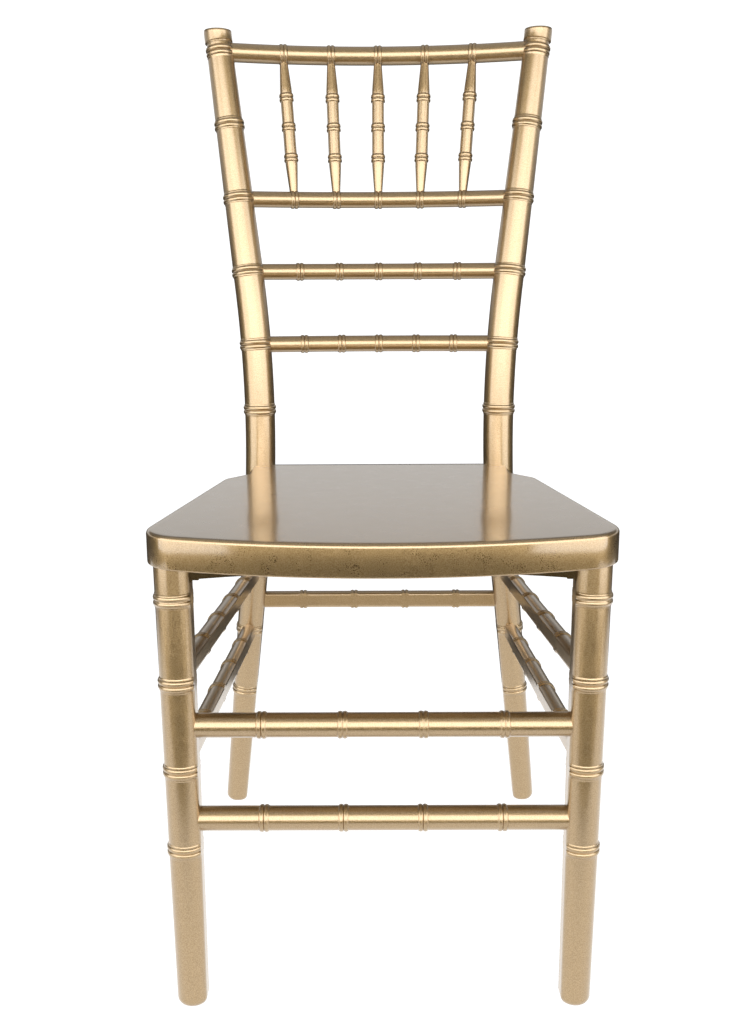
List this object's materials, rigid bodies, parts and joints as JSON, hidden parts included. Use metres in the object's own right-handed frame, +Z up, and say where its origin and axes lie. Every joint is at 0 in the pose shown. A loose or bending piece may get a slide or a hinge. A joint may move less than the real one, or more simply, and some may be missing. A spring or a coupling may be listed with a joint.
{
  "type": "dining chair",
  "caption": "Armless chiavari dining chair with ringed bamboo-style legs, stretchers and back rails, slim spindles under a bowed crest, and a flat hard seat.",
  "frame": {"origin": "on the floor, under the middle of the chair's bounding box", "axes": "+X across the chair to the sitter's left, +Y to the rear, +Z up"},
  "size_m": [0.4082, 0.4784, 0.923],
  "materials": {
    "gold_resin": "satin metallic gold paint",
    "glide_plastic": "matte"
  },
  "bodies": {
    "root": {"back_post_left": "gold_resin", "back_post_right": "gold_resin", "front_leg_left": "gold_resin", "front_leg_right": "gold_resin", "crest_rail": "gold_resin", "back_rail_upper": "gold_resin", "back_rail_middle": "gold_resin", "back_rail_lower": "gold_resin", "spindle_far_left": "gold_resin", "spindle_left": "gold_resin", "spindle_centre": "gold_resin", "spindle_right": "gold_resin", "spindle_far_right": "gold_resin", "front_stretcher_upper": "gold_resin", "front_stretcher_lower": "gold_resin", "side_stretcher_upper_left": "gold_resin", "side_stretcher_upper_right": "gold_resin", "side_stretcher_lower_left": "gold_resin", "side_stretcher_lower_right": "gold_resin", "rear_stretcher": "gold_resin", "seat": "gold_resin", "front_seat_rail": "gold_resin", "rear_seat_rail": "gold_resin", "side_seat_rail_left": "gold_resin", "side_seat_rail_right": "gold_resin", "foot_glide_front_left": "glide_plastic", "foot_glide_front_right": "glide_plastic", "foot_glide_rear_left": "glide_plastic", "foot_glide_rear_right": "glide_plastic"}
  },
  "joints": []
}
